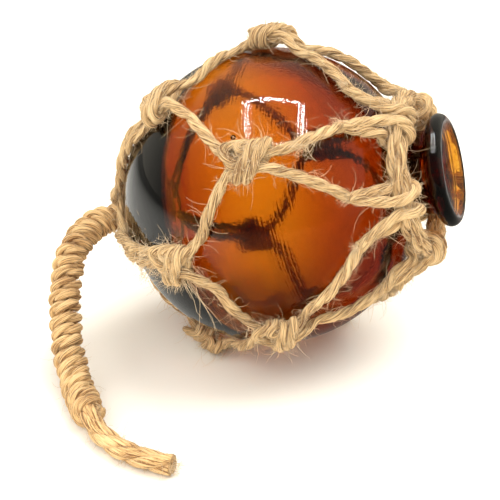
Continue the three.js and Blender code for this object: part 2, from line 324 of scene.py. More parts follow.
# %% [markdown]
# ## Hairs
# Jute is never smooth. Short fibres stand out all along the cord, and now and then a long one curls
# away. Each hair starts inside the cord, leaves it at a slant, and turns a little at every step. A curve
# with one thin spline for each hair becomes a mesh in one go. No hair may go into the glass or the
# table, so what would is moved back out.

# %% Hairs
HAIR_POINTS = 5
HAIR_WAVER = 0.12
SHORT_HAIR, HAIR_VARIES = 1.8, 2.2
LONG_HAIR_SHARE = 0.07
HAIR_ROOT = 0.8
HAIR_TIP = 0.35
GLASS_AIR = 0.15
TABLE_AIR = 0.12


def keep_outside(points, ball_centre=None):
    """Moves points out of the glass and off the table."""
    if ball_centre is not None:
        away = points - ball_centre
        far = np.linalg.norm(away, axis=-1, keepdims=True)
        on_ball = away[..., :1] * AXIS[0] + away[..., 2:] * AXIS[2] < R
        lifted = ball_centre + away / far * np.maximum(far, R + GLASS_AIR)
        points = np.where(on_ball, lifted, points)
    points[..., 2] = np.maximum(points[..., 2], TABLE_AIR)
    return points


def hair_path(rng, start, direction, length, curl):
    """Points along one hair that bends the same way all along and wavers a little."""
    bend = unit(rng.normal(size=3)) * curl
    step = length / (HAIR_POINTS - 1)
    points = [start]
    for _ in range(HAIR_POINTS - 1):
        direction = unit(direction + np.cross(bend, direction) + rng.normal(size=3) * HAIR_WAVER)
        points.append(points[-1] + direction * step)
    return np.array(points)


def hairs_along(rng, line, frames, radius, per_mm, longest):
    """Loose fibres all along a cord, each a path and its radius."""
    along, side, other = frames
    hairs = []
    for _ in range(int(length_of(line) * per_mm)):
        i = rng.integers(2, len(line) - 2)
        angle = rng.uniform(0, 2 * math.pi)
        out = side[i] * math.cos(angle) + other[i] * math.sin(angle)
        lean = math.radians(rng.uniform(12, 70))
        way = along[i] * rng.choice((-1, 1))
        length = min(longest, SHORT_HAIR + rng.exponential(HAIR_VARIES))
        if rng.random() < LONG_HAIR_SHARE:
            length = rng.uniform(0.35, 1) * longest
        start = line[i] + out * radius * HAIR_ROOT
        direction = unit(way * math.cos(lean) + out * math.sin(lean))
        path = hair_path(rng, start, direction, length, rng.uniform(0.1, 0.7))
        hairs.append((path, rng.uniform(0.05, 0.1)))
    return hairs


def tuft(rng, start, direction, count, length, spread, width):
    """A bunch of loose fibres, such as a frayed cut end."""
    hairs = []
    for _ in range(count):
        way = unit(unit(direction) + rng.normal(size=3) * spread)
        root = start + rng.normal(size=3) * width
        reach = length * rng.uniform(0.35, 1.0)
        path = hair_path(rng, root, way, reach, rng.uniform(0.05, 0.4))
        hairs.append((path, rng.uniform(0.07, 0.13)))
    return hairs


def hair_mesh(hairs, ball_centre=None):
    """All hairs as one mesh of thin tubes that taper to the tip."""
    curve = bpy.data.curves.new("hairs", "CURVE")
    curve.dimensions = "3D"
    curve.bevel_depth = 1
    curve.bevel_resolution = 0
    curve.use_fill_caps = True
    for points, radius in hairs:
        points = keep_outside(points, ball_centre)
        spline = curve.splines.new("POLY")
        spline.points.add(len(points) - 1)
        taper = np.linspace(1, HAIR_TIP, len(points)) * radius * MM
        flat = np.column_stack([points * MM, np.ones(len(points))])
        spline.points.foreach_set("co", flat.ravel())
        spline.points.foreach_set("radius", taper)
    holder = bpy.data.objects.new("hairs", curve)
    mesh = bpy.data.meshes.new_from_object(holder)
    bpy.data.objects.remove(holder)
    bpy.data.curves.remove(curve)
    return mesh


print("One hair in", round(1 / LONG_HAIR_SHARE), "is long, and the others start at", SHORT_HAIR, "mm")

# %% [markdown]
# ## One piece from its parts
# A cord's plies and its hairs have different materials but are one thing to pick up, so they become one
# object. We join them as one mesh, give each part's faces their material, shade them smooth, and let the
# piece ride on the body that its solids belong to.

# %% One piece from its parts
def add_piece(name, parts):
    """One object from a list of (mesh or bmesh, material)."""
    whole = bmesh.new()
    materials = []
    for part, material in parts:
        if material not in materials:
            materials.append(material)
        if isinstance(part, bmesh.types.BMesh):
            mesh = bpy.data.meshes.new("part")
            part.to_mesh(mesh)
            part.free()
            part = mesh
        before = len(whole.faces)
        whole.from_mesh(part)
        bpy.data.meshes.remove(part)
        whole.faces.ensure_lookup_table()
        for face in whole.faces[before:]:
            face.material_index = materials.index(material)
            face.smooth = True
    bmesh.ops.remove_doubles(whole, verts=whole.verts, dist=SAME_PLACE)
    mesh = bpy.data.meshes.new(name)
    whole.to_mesh(mesh)
    whole.free()
    for material in materials:
        mesh.materials.append(material)
    piece = bpy.data.objects.new(name, mesh)
    bpy.context.scene.collection.objects.link(piece)
    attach(piece, "root")
    print(name, "has", sum(len(p.vertices) - 2 for p in mesh.polygons), "triangles")
    return piece

# %% [markdown]
# ## Shader maths as plain sums
# A small class holds a socket and lets us write shader maths as Python sums. Any other node comes from
# its one method, which takes the node's type, its settings, and a wire or a plain value for each input.
# A few short functions on top name the nodes that we need most.

# %% Shader maths as plain sums
MIX_COLOURS, MIXED_COLOUR = (6, 7), 2


def plug(node, inputs):
    """Gives a node its inputs, by place or by name. A wire is linked, and a plain value is set."""
    pairs = inputs.items() if isinstance(inputs, dict) else enumerate(inputs)
    for key, value in pairs:
        if isinstance(value, Wire):
            node.id_data.links.new(value.socket, node.inputs[key])
        else:
            node.inputs[key].default_value = value


class Wire:
    """An output in a shader, or only its tree, to start from."""

    def __init__(self, tree, socket=None):
        self.tree = tree
        self.socket = socket

    def make(self, kind, settings=(), inputs=(), output=0):
        """Adds a node to the tree, sets it up, and returns one of its outputs."""
        new = self.tree.nodes.new(kind)
        for name, value in dict(settings).items():
            setattr(new, name, value)
        plug(new, inputs)
        return Wire(self.tree, new.outputs[output])

    def maths(self, operation, *values):
        return self.make("ShaderNodeMath", {"operation": operation}, values)

    def __add__(self, other):
        return self.maths("ADD", self, other)

    def __mul__(self, other):
        return self.maths("MULTIPLY", self, other)

    def __sub__(self, other):
        return self.maths("SUBTRACT", self, other)

    def __rsub__(self, other):
        return self.maths("SUBTRACT", other, self)

    __radd__ = __add__
    __rmul__ = __mul__


def start_material(name):
    """A new material, a wire to start from, and its shader."""
    material = bpy.data.materials.new(name)
    material.use_nodes = True
    tree = material.node_tree
    shader = next(n for n in tree.nodes if n.type == "BSDF_PRINCIPLED")
    return material, Wire(tree), shader


def own_place(start):
    """Where a point is on the object itself."""
    return start.make("ShaderNodeTexCoord", output="Object")


def split(vector):
    """The x, y and z of a vector."""
    apart = vector.make("ShaderNodeSeparateXYZ", inputs=[vector]).socket.node
    return [Wire(vector.tree, socket) for socket in apart.outputs]


def noise(where, scale, detail=2.0, roughness=0.5):
    settings = {"Vector": where, "Scale": scale, "Detail": detail, "Roughness": roughness}
    return where.make("ShaderNodeTexNoise", inputs=settings)


def rise(value, low, high):
    """0 up to low, 1 from high on, and a soft rise between them."""
    inputs = {"Value": value, "From Min": low, "From Max": high}
    return value.make("ShaderNodeMapRange", {"interpolation_type": "SMOOTHSTEP"}, inputs)


def mixed(factor, first, second):
    """A colour between two others."""
    inputs = {"Factor": factor, MIX_COLOURS[0]: first, MIX_COLOURS[1]: second}
    return factor.make("ShaderNodeMix", {"data_type": "RGBA"}, inputs, MIXED_COLOUR)


def ramp(tone, stops):
    """A colour scale, from a list of (place, colour)."""
    colour = tone.make("ShaderNodeValToRGB", inputs=[tone])
    scale = colour.socket.node.color_ramp.elements
    while len(scale) < len(stops):
        scale.new(0.5)
    for stop, (place, value) in zip(scale, stops):
        stop.position = place
        stop.color = value
    return colour


def bumps(height, distance):
    return height.make("ShaderNodeBump", inputs={"Strength": 1.0, "Distance": distance, "Height": height})


print("Shader maths is ready")

# %% [markdown]
# ## Jute
# Seen close, jute is a bundle of straw-coloured fibres, each a little lighter or darker than the next. The
# streaks run along the ply, so the pattern reads the strand's own map: the way along it, and the
# angle round it. The angle goes through a sine and a cosine, so that no seam shows. Larger patches on
# top make one stretch of cord a little darker than the next. A loose hair is a paler straw, in spots.

# %% Jute
FIBRE_TWIST = 3.0
STREAK_SHORTNESS = 0.3
FIBRE_SCALE, FIBRE_DETAIL, FIBRE_ROUGHNESS = 3.6, 4.0, 0.7
PATCH_SCALE = 70.0
FIBRE_DEPTH = 0.0013
FIBRE_CONTRAST, PATCH_CONTRAST, TONE_SHIFT = 3.2, 0.7, 1.42
DARK_TO, LIGHT_FROM = 0.22, 0.78
SHEEN = (1.0, 0.86, 0.62, 1)
SPOT_SCALE = 400.0
SPOT_SHADE = 0.7


def jute(name, dark, middle, light):
    material, start, shader = start_material(name)
    along, angle, _ = split(start.make("ShaderNodeUVMap", {"uv_map": "UVMap"}))
    angle = angle * (2 * math.pi) - along * FIBRE_TWIST
    cosine, sine = angle.maths("COSINE", angle), angle.maths("SINE", angle)
    circle = start.make("ShaderNodeCombineXYZ", inputs=[cosine, sine, along * STREAK_SHORTNESS])
    fibres = noise(circle, FIBRE_SCALE, FIBRE_DETAIL, FIBRE_ROUGHNESS)
    patches = noise(own_place(start), PATCH_SCALE)
    tone = fibres * FIBRE_CONTRAST + patches * PATCH_CONTRAST - TONE_SHIFT
    look = {
        "Base Color": ramp(tone, [(DARK_TO, dark), (0.5, middle), (LIGHT_FROM, light)]),
        "Normal": bumps(fibres, FIBRE_DEPTH),
        "Roughness": 0.85,
        "Specular IOR Level": 0.25,
        "Sheen Weight": 0.25,
        "Sheen Roughness": 0.45,
        "Sheen Tint": SHEEN,
    }
    plug(shader, look)
    return material


def plain_hair(name, colour):
    material, start, shader = start_material(name)
    spots = noise(own_place(start), SPOT_SCALE)
    shade = tuple(c * SPOT_SHADE for c in colour[:3]) + (1,)
    plug(shader, {"Base Color": ramp(spots, [(0.35, shade), (0.65, colour)]), "Roughness": 0.6})
    return material


CORD_JUTE = jute("jute cord", (0.20, 0.095, 0.035, 1), (0.66, 0.41, 0.18, 1), (0.86, 0.61, 0.31, 1))
TWINE_JUTE = jute("jute twine", (0.25, 0.11, 0.035, 1), (0.76, 0.45, 0.18, 1), (0.92, 0.64, 0.31, 1))
HAIR = plain_hair("jute hair", (0.80, 0.60, 0.36, 1))
print("Ready are", ", ".join(material.name for material in (CORD_JUTE, TWINE_JUTE, HAIR)))

# %% [markdown]
# ## The tail
# The twine is wound tightly round the rope from the net to a few centimetres before its end. The twine
# is a cord of two plies itself, so we wind its own middle line round the tail's, and twist its plies
# round that. Under the winding nobody sees the rope, so one plain core stands for it there. Where the
# winding stops, the rope's own three thick plies show, cut off square.

# %% The tail
TWINE_PITCH = 5.2
TWINE_DIAMETER = 4.8
CORE_RADIUS = 3.6
CORE_STEP = 6
CORE_STOPS_SHORT = 2
PLIES_START_EARLY = 5
WINDING_STEP = 0.75
CORD_LAY = 17
TAIL_PLIES = 3
TAIL_LAY = 38
THREE_PLY = (0.46, 0.50, 0.62)
WINDING_FINE_STEP = 0.2
RADIUS_WANDERS = (9, 0.25)
TURN_WANDERS = (15, 0.5)
BETWEEN_TURNS = 0.6
TAIL_HAIRS_PER_MM = 4
TAIL_LONG_HAIR = 9
TAIL_TUFT = (150, 3.2, 0.3, 1.6)
TAIL_SEED = 11
UP = np.array((0, 0, 1.0))


def make_core():
    """One plain round core, out of sight under the winding."""
    core = tail_line[tail_along < wound_length - CORE_STOPS_SHORT][::CORE_STEP]
    _, side, other = carried_frames(core, UP)
    around = np.linspace(0, 2 * math.pi, PLY_SIDES, endpoint=False)[None, :, None]
    circle = side[:, None] * np.cos(around) + other[:, None] * np.sin(around)
    return rolled_mesh(core[:, None] + CORE_RADIUS * circle, wound_length)


def make_bare_plies(rng):
    """The rope's own three plies, from just under the winding to the cut end."""
    line = tail_line[tail_along > wound_length - PLIES_START_EARLY]
    frames = carried_frames(line, UP)
    plies = []
    for ply in range(TAIL_PLIES):
        rings = ply_rings(line, frames, rng, TAIL_END_DIAMETER, ply, TAIL_PLIES, TAIL_LAY, THREE_PLY)
        plies.append(rolled_mesh(keep_outside(rings), length_of(line)))
    return plies


def make_winding(rng):
    """The twine's two plies, wound round the tail."""
    fine = evenly(tail_line[tail_along < wound_length], WINDING_FINE_STEP)
    _, side, other = carried_frames(fine, UP)
    at = np.linspace(0, wound_length, len(fine))
    radius = TAIL_DIAMETER / 2 - TWINE_DIAMETER / 2 + wandering(rng, at, *RADIUS_WANDERS)
    turn = 2 * math.pi * at / TWINE_PITCH + wandering(rng, at, *TURN_WANDERS)
    out = side * np.cos(turn)[:, None] + other * np.sin(turn)[:, None]
    wound = evenly(fine + out * radius[:, None], WINDING_STEP)
    frames = carried_frames(wound, out[0])
    rings = [ply_rings(wound, frames, rng, TWINE_DIAMETER, ply, 2, CORD_LAY, TWO_PLY) for ply in range(2)]
    return [rolled_mesh(keep_outside(ring), length_of(wound)) for ring in rings]


def tail_hairs(rng):
    """Hairs along both stretches, and a frayed tuft at the cut end."""
    hairs = []
    stretches = ((True, TAIL_DIAMETER / 2 - BETWEEN_TURNS), (False, TAIL_END_DIAMETER / 2))
    for wound, radius in stretches:
        line = tail_line[(tail_along < wound_length) == wound]
        frames = carried_frames(line, UP)
        hairs += hairs_along(rng, line, frames, radius, TAIL_HAIRS_PER_MM, TAIL_LONG_HAIR)
    back = tail_line[-1] - tail_line[-4]
    return hairs + tuft(rng, tail_line[-1] - back * 0.4, back, *TAIL_TUFT)


def make_tail():
    rng = np.random.default_rng(TAIL_SEED)
    strands = [make_core(), *make_bare_plies(rng), *make_winding(rng)]
    tail = add_piece("rope_tail", [(strand, TWINE_JUTE) for strand in strands])
    return tail, add_piece("rope_tail_hairs", [(hair_mesh(tail_hairs(rng)), HAIR)])


tail, tail_fuzz = make_tail()
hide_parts("tail_whipping", "tail_rope_end")

# %% [markdown]
# ## The net's knots
# Each crossing of the net is an overhand knot that is tied in two cords at once. Both run in side by
# side, turn out, go once round the knot and come back through it, so they lie beside and on top of each
# other. The loop is square with rounded corners, because a round one would run through the two cords
# that it goes round. Knots' places are latitudes and longitudes, worked out from the picture where they
# show and carried on round the ball where they don't.

# %% The net's knots
CORD = 4.5
PITCH = 5.0
TOUCH_GAP = 0.35
ON_GLASS = TOUCH_GAP + CORD / 2
KNOT_PRESS = 0.52
POLE_PRESS = 0.5
KNOT_ENTRY = [(-2.1, 0), (-1.6, 0.45), (-1.05, 1), (0, 1)]
KNOT_EXIT = [(0, 2), (1.1, 1.9), (1.7, 1.3), (2.2, 0.55), (2.8, 0)]
STRAIGHT_IN_KNOT = 1.2
LOOP_HALF_WIDTH = 1.2
LOOP_HALF_HEIGHT = 1.4
LOOP_LEAN = 0.4
KNOT_LENGTH = 0.72
LOOP_SQUARENESS = 2 / 3
QUARTER_TURN = (math.pi / 4, math.pi / 2)
FIRST_ROW = [(-33, 26.5), (-18.7, 92.5), (-21, 153.5), (-22.5, 234), (-23, 308)]
SECOND_ROW = [(8, 56.5), (13.7, 123.7), (12, 189), (12, 272), (7, 344.5)]


def rounded(value):
    """A sine or cosine, swollen so that a circle becomes a square with rounded corners."""
    return math.copysign(abs(value) ** LOOP_SQUARENESS, value)


def slope_to(place, point, start_v):
    """How much a straight cord from a place to a point goes sideways for each step to the mouth."""
    out, mouthward, sideways = directions_at(place)
    scale = R / point.dot(out)
    return (point.dot(sideways) * scale - start_v) / (point.dot(mouthward) * scale)


def knot_points(place, side, came_from, goes_to):
    """One strand's way through a knot. side is -0.5 or 0.5."""
    entry = slope_to(place, came_from, side * PITCH)
    leave = slope_to(place, goes_to, -side * PITCH)
    route = [(u, side + entry * min(u + STRAIGHT_IN_KNOT, 0), h) for u, h in KNOT_ENTRY]
    for a in QUARTER_TURN:
        route.append(((1 - side) * math.sin(a), 1 - (1 - side) * math.cos(a), 1))
    for degrees in range(0, 361, 45):
        a = math.radians(degrees)
        across = LOOP_HALF_WIDTH * rounded(math.cos(a))
        high = LOOP_HALF_HEIGHT * (1 + rounded(math.sin(a)))
        route.append(((1 - degrees / 180 - side) * KNOT_LENGTH + across * LOOP_LEAN, across, high))
    for a in QUARTER_TURN[::-1]:
        route.append((-(1 + side) * math.sin(a), 1 - (1 + side) * math.cos(a), 2))
    route += [(u, -side + leave * max(u - STRAIGHT_IN_KNOT, 0), h) for u, h in KNOT_EXIT]
    return [near(place, u * PITCH, v * PITCH, ON_GLASS + h * PITCH) for u, v, h in route]


one_strand = knot_points(FIRST_ROW[0], 0.5, near((-60, 20), 0, 0, 0), near((0, 40), 0, 0, 0))
print("A strand goes through a knot in", len(one_strand), "points")

# %% [markdown]
# ## The neck and the pole
# At the neck, a ring of cord lies round the glass, and every leg of the net is turned once round it and
# cut off. At the pole, the five cords are folded over a second ring.

# %% The neck and the pole
NECK_RADIUS = 17.2
HITCH_RADIUS = CORD + TOUCH_GAP + 0.65
COLLAR_GAP = 5
HITCH_TURNS = (-70, -25, 20, 65, 110, 155, 200, 245)
HITCH_START = 1.05
HITCH_SHIFT = 2
HITCH_APPROACH = 2.2
HITCH_LEAVE = 2.6
CUT_END = 8
CUT_END_LIFT = 0.6
SPLAY = 1.1
SPLAY_AT_LEAVING = 0.3
NECK_RING_RADIUS = NECK_RADIUS + COLLAR_GAP + ON_GLASS + HITCH_RADIUS
NECK_RING_DISTANCE = R + ON_GLASS + HITCH_RADIUS
NECK_RING_AXIAL = math.sqrt(NECK_RING_DISTANCE**2 - NECK_RING_RADIUS**2)
NECK_RING_LAT = math.degrees(math.atan2(NECK_RING_AXIAL, NECK_RING_RADIUS))
POLE_RING_RADIUS = TAIL_DIAMETER / 2 + TOUCH_GAP + CORD + ON_GLASS
POLE_RING_LIFT = 1.06
POLE_FOLD = [
    (1.6, -0.5, 0.75),
    (0.8, -0.45, 1.95),
    (-0.1, -0.35, 2.3),
    (-0.95, -0.1, 1.7),
    (-1.02, 0, 1),
    (-0.85, 0.1, 0.3),
    (-0.1, 0.35, 0),
    (1.2, 0.5, 0),
]


def neck_hitch(place, side):
    """A leg's turn round the ring at the neck, and its cut end on the glass."""
    out, mouthward, sideways = directions_at(place)
    points = []
    for i, degrees in enumerate(HITCH_TURNS):
        a = math.radians(degrees)
        shift = side * (HITCH_START + i / (len(HITCH_TURNS) - 1) * HITCH_SHIFT) * PITCH
        points.append(
            out * (NECK_RING_DISTANCE + HITCH_RADIUS * math.cos(a))
            + mouthward * HITCH_RADIUS * math.sin(a)
            + sideways * shift
        )
    end = side * (HITCH_START + HITCH_SHIFT) * PITCH
    leave = HITCH_LEAVE * PITCH
    splay = side * SPLAY * PITCH
    return points + [
        near(place, -leave, end + SPLAY_AT_LEAVING * splay, ON_GLASS),
        near(place, -leave - CUT_END, end + splay, ON_GLASS + CUT_END_LIFT),
    ]


def fold_points(lon):
    """A cord's way over the ring at the pole and back under it."""
    return [
        near((POLE, lon), POLE_RING_RADIUS + u * PITCH, v * PITCH, ON_GLASS + h * PITCH)
        for u, v, h in POLE_FOLD
    ]


neck_ring_place = round(NECK_RING_RADIUS, 1), round(NECK_RING_LAT, 1)
print("The neck's ring lies %s mm from the axis, at latitude %s" % neck_ring_place)

# %% [markdown]
# ## The legs of the net
# A cord has two legs. Each lies on the glass from the pole to the first row of knots, where both legs of
# one cord are tied together. Then they part, and each is tied in the second row to a leg of the
# neighbouring cord, and ends at the neck.

# %% The legs of the net
LEAD = 3


def along_glass(start, end, count):
    """Points on the glass between two others, on the shortest way."""
    a, b = Vector(unit(start)), Vector(unit(end))
    turn = a.rotation_difference(b)
    shares = [i / (count + 1) for i in range(1, count + 1)]
    return [np.array(Quaternion().slerp(turn, share) @ a) * (R + ON_GLASS) for share in shares]


def leg_points(index, side):
    """One leg from the pole to the neck. side is -0.5 or 0.5."""
    count = len(FIRST_ROW)
    first = FIRST_ROW[index]
    before, after = (index - 1) % count, (index + 1) % count
    second = SECOND_ROW[before if side > 0 else index]
    neck = (NECK_RING_LAT, FIRST_ROW[before if side > 0 else after][1])
    start = near((POLE, first[1]), POLE_RING_RADIUS + LEAD * PITCH, side * PITCH, ON_GLASS)
    end = near(neck, -HITCH_APPROACH * PITCH, side * PITCH, ON_GLASS)
    beside_start = near(first, -LEAD * PITCH, side * PITCH, 0)
    through_first = knot_points(first, side, beside_start, near(second, 0, 0, 0))
    through_second = knot_points(second, side, near(first, 0, 0, 0), near(neck, 0, 0, 0))
    return [
        start,
        *along_glass(start, through_first[0], 2),
        *through_first,
        *along_glass(through_first[-1], through_second[0], 2),
        *through_second,
        *along_glass(through_second[-1], end, 3),
        *neck_hitch(neck, side),
    ]


def cord_route(index):
    falling = leg_points(index, -0.5)[::-1]
    return falling + fold_points(FIRST_ROW[index][1]) + leg_points(index, 0.5)


print("A net cord's route is", round(length_of(smooth_route(cord_route(1), 1)), 0), "mm long")

# %% [markdown]
# ## Pressing the cords
# Cords that cross are pulled tight, so what is stacked over a place is lowered towards the glass. The
# middle line gets the whole press. The cord round it is squeezed less, as real jute is, and is then kept
# out of the glass and off the table.

# %% Pressing the cords
KNOT_INNER, KNOT_OUTER = 2.6 * PITCH, 4.8 * PITCH
PRESSED_PLACES = [
    (near(place, 0, 0, 0), KNOT_INNER, KNOT_OUTER, KNOT_PRESS) for place in FIRST_ROW + SECOND_ROW
]
PRESSED_PLACES.append(
    (near((POLE, 0), 0, 0, 0), POLE_RING_RADIUS + PITCH, POLE_RING_RADIUS + LEAD * PITCH, POLE_PRESS)
)
SECTION_PRESS = 0.5


def press_factor(points):
    """How much of its height over the glass a point keeps."""
    far = np.linalg.norm(points, axis=-1)
    factor = np.ones(points.shape[:-1])
    for centre, inner, outer, press in PRESSED_PLACES:
        cosine = np.clip((points @ centre) / (far * np.linalg.norm(centre)), -1, 1)
        t = np.clip((R * np.arccos(cosine) - inner) / (outer - inner), 0, 1)
        factor = np.minimum(factor, press + (1 - press) * t * t * (3 - 2 * t))
    return factor


def pressed(points):
    """The same points, lowered towards the glass."""
    far = np.linalg.norm(points, axis=-1, keepdims=True)
    low = R + TOUCH_GAP
    return points / far * (low + (far - low) * press_factor(points)[..., None])


def cord_rings(line, rng, ply, frames):
    """A ply's rings round a pressed middle line, around the ball's centre."""
    rings = ply_rings(line, frames, rng, CORD, ply, 2, CORD_LAY, TWO_PLY)
    middle = line[:, None, :]
    up = middle / np.linalg.norm(middle, axis=-1, keepdims=True)
    lift = ((rings - middle) * up).sum(-1, keepdims=True)
    squeeze = 1 - (1 - press_factor(line)) * SECTION_PRESS
    rings = rings + up * lift * (squeeze[:, None, None] - 1)
    return keep_outside(rings + CENTRE, CENTRE)


knot_keeps = press_factor(near(FIRST_ROW[0], 0, 0, 0)).round(2)
print("In a knot a cord keeps", knot_keeps, "of its height over the glass")

# %% [markdown]
# ## The net cords
# Now each cord is two plies and its hairs, in one piece. Short tufts stand at the cut ends by the neck.
# A few knots that the picture shows frayed get bunches of loose fibres of their own.

# %% The net cords
CORD_STEP = 0.85
HAIRS_PER_MM = 2.8
LONGEST_HAIR = 14
CUT_END_TUFT = (60, 4.5, 0.35, 0.8)
FIRST_CORD_SEED = 20


def loose_fibres(rng, place, offset, direction, count, length, spread, width):
    """A frayed tuft that starts near a place on the ball."""
    root = near(place, *offset)
    _, mouthward, sideways = directions_at(place)
    way = mouthward * direction[0] + sideways * direction[1] + unit(root) * direction[2]
    return tuft(rng, root + CENTRE, way, count, length, spread, width)


# Each tuft: near which place, how far from it, which way, how many fibres, how long, spread and width
FRAYED = {
    "jute_net_cord_2": [
        ((-18.7, 92.5), (1, -3, 4), (0.2, -1, 0.5), 130, 9, 0.5, 2.6),
        ((-18.7, 92.5), (3, -4, 5), (1.2, -1, 0.15), 7, 34, 0.12, 1.5),
        ((-31, 93), (0, 0, 3), (-0.3, -0.6, 0.8), 160, 6, 0.9, 4.5),
    ],
    "jute_net_cord_4": [((12, 189), (3, 0, 8), (0.6, 0.3, 1), 50, 5, 0.5, 1.2)],
    "jute_net_cord_3": [((32, 127), (0, 0, 4), (-0.4, 0.5, 0.7), 70, 7, 0.6, 1.4)],
}


def make_cord(name, line, seed, ends=True):
    """A cord along a line round the ball: two plies, hairs and, at cut ends, tufts."""
    rng = np.random.default_rng(seed)
    frames = carried_frames(line, unit(line[0]))
    plies = [rolled_mesh(cord_rings(line, rng, ply, frames), length_of(line)) for ply in range(2)]
    hairs = hairs_along(rng, line + CENTRE, frames, CORD / 2, HAIRS_PER_MM, LONGEST_HAIR)
    if ends:
        for tip, inner in ((line[0], line[4]), (line[-1], line[-5])):
            hairs += tuft(rng, tip + CENTRE, tip - inner, *CUT_END_TUFT)
    hairs += [hair for values in FRAYED.get(name, []) for hair in loose_fibres(rng, *values)]
    parts = [(ply, CORD_JUTE) for ply in plies]
    piece = add_piece(name, parts + [(hair_mesh(hairs, CENTRE), HAIR)])
    return piece


for index in range(len(FIRST_ROW)):
    line = evenly(pressed(smooth_route(cord_route(index), 0.5)), CORD_STEP)
    piece = make_cord(f"jute_net_cord_{index + 1}", line, FIRST_CORD_SEED + index)
    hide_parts(f"net_cord_{index + 1}")

# %% [markdown]
# ## The two rings
# The ring at the pole is one cord in a plain circle. The one at the neck is a collar: its cord goes round
# three times, and the turns cross each other all the way, so it shows as a braid. One wave in and out,
# and a second one up and down that lags behind it, make the turns cross without meeting.

# %% The two rings
RING_TURNS = 3
NECK_SEED, POLE_SEED = 31, 32
BRAID_CROSSINGS = 13
BRAID_RADIUS = 2.1


def ring_line(through):
    """A circle about the ball's axis, through one point."""
    axial = through @ AXIS
    radius = math.sqrt(through @ through - axial**2)
    angles = np.linspace(0, 2 * math.pi, round(2 * math.pi * radius / CORD_STEP))
    return np.array([AXIS * axial + radius * (BELOW * math.cos(a) + FRONT * math.sin(a)) for a in angles])


def braided_ring(line):
    """The neck's cord: three turns that cross each other all the way."""
    a = np.linspace(0, 2 * math.pi * RING_TURNS, RING_TURNS * len(line))
    axial = np.interp(a % (2 * math.pi), np.linspace(0, 2 * math.pi, len(line)), line @ AXIS)
    radius = np.linalg.norm(line[0] - AXIS * (line[0] @ AXIS))
    swing = BRAID_CROSSINGS * a / RING_TURNS
    circle = BELOW[None] * np.cos(a)[:, None] + FRONT[None] * np.sin(a)[:, None]
    reach = (radius + BRAID_RADIUS * np.cos(swing))[:, None]
    return AXIS[None] * (axial + BRAID_RADIUS * np.sin(swing))[:, None] + circle * reach


neck_point = near((NECK_RING_LAT, 0), 0, 0, NECK_RING_DISTANCE - R)
pole_point = near((POLE, 0), POLE_RING_RADIUS, 0, ON_GLASS + POLE_RING_LIFT * PITCH)
neck_ring = make_cord("jute_neck_ring", braided_ring(ring_line(neck_point)), NECK_SEED, ends=False)
pole_ring = make_cord("jute_pole_ring", pressed(ring_line(pole_point)), POLE_SEED, ends=False)
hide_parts("neck_ring_cord")
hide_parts("pole_ring_cord")

# %% [markdown]
# ## The glass's outline
# Blown glass is turned while it is hot, so its outline spun about the axis through the mouth gives its
# shape. The outline goes from the pole up the outside, round the fillet and the lip, down through the
# dished face and the bore, and back along the inside to the pole. The glass is thicker at the pole and
# at the shoulder, where the picture shows it dark. Each wall is given as a latitude and a thickness.

# %% The glass's outline
WALLS = [
    (66, 9.5),
    (50, 9.5),
    (30, 7.8),
    (12, 5.9),
    (-4, 4.1),
    (-16, 4.0),
    (-28, 5.4),
    (-40, 8.2),
    (-55, 11.6),
    (-72, 14),
    (-90, 15),
]
NECK_LENGTH = 16.2
NECK_FILLET = 5
BORE_RADIUS = 7.5
LIP_RADIUS = 23
LIP_THICKNESS = 6.8
LIP_FLARE = 3.4
DISH_DEPTH = 5
DISH_HOLDS_OUT = 0.6
DISH_FALLS = 0.7


def arc(centre, radius, start, end, count):
    angles = np.radians(np.linspace(start, end, count))
    return [(centre[0] + radius * math.cos(a), centre[1] + radius * math.sin(a)) for a in angles]


def bent(start, pull, end, t):
    """A point on a bend from start to end, pulled towards a third value."""
    return start * (1 - t) ** 2 + pull * 2 * t * (1 - t) + end * t**2


def glass_outline():
    """Points of (distance from the axis, distance along the axis)."""
    reach = R + NECK_LENGTH
    fillet_x = NECK_RADIUS + NECK_FILLET
    fillet = (fillet_x, math.sqrt((R + NECK_FILLET) ** 2 - fillet_x**2))
    fillet_start = math.degrees(math.atan2(fillet[1], fillet[0]))
    edge_radius = LIP_THICKNESS / 2
    edge = (LIP_RADIUS - edge_radius, reach - edge_radius)
    flare = (NECK_RADIUS + LIP_FLARE, edge[1] - edge_radius - LIP_FLARE)
    points = arc((0, 0), R, -90, fillet_start, 90)
    points += arc(fillet, NECK_FILLET, fillet_start - 180, -180, 10)[1:]
    points += arc(flare, LIP_FLARE, 180, 90, 8)
    points += arc(edge, edge_radius, -90, 90, 18)[1:]
    pull_x = edge[0] * DISH_HOLDS_OUT + BORE_RADIUS * (1 - DISH_HOLDS_OUT)
    pull_y = reach - DISH_DEPTH * DISH_FALLS
    for t in np.linspace(0, 1, 14)[1:]:
        points.append((bent(edge[0], pull_x, BORE_RADIUS, t), bent(reach, pull_y, reach - DISH_DEPTH - 1, t)))
    inside = [
        (math.cos(math.radians(lat)) * (R - wall), math.sin(math.radians(lat)) * (R - wall), 0)
        for lat, wall in WALLS
    ]
    throat = (BORE_RADIUS, math.sqrt((R - WALLS[0][1]) ** 2 - BORE_RADIUS**2), 0)
    points += [(x, y) for x, y, _ in smooth_route([throat] + inside, 0.9)]
    return [(max(x, 0), y) for x, y in points]


print("The glass's outline has", len(glass_outline()), "points")

# %% [markdown]
# ## The glass
# The outline is spun once round. A seed, a small bubble that stayed in the glass, is a sphere whose faces
# look inwards. Amber glass swallows blue light on its way through, so its colour comes from how thick it
# is: a clear surface round a body that absorbs. The hot tools left fine rings near the mouth, and the
# whole ball is a little wavy.

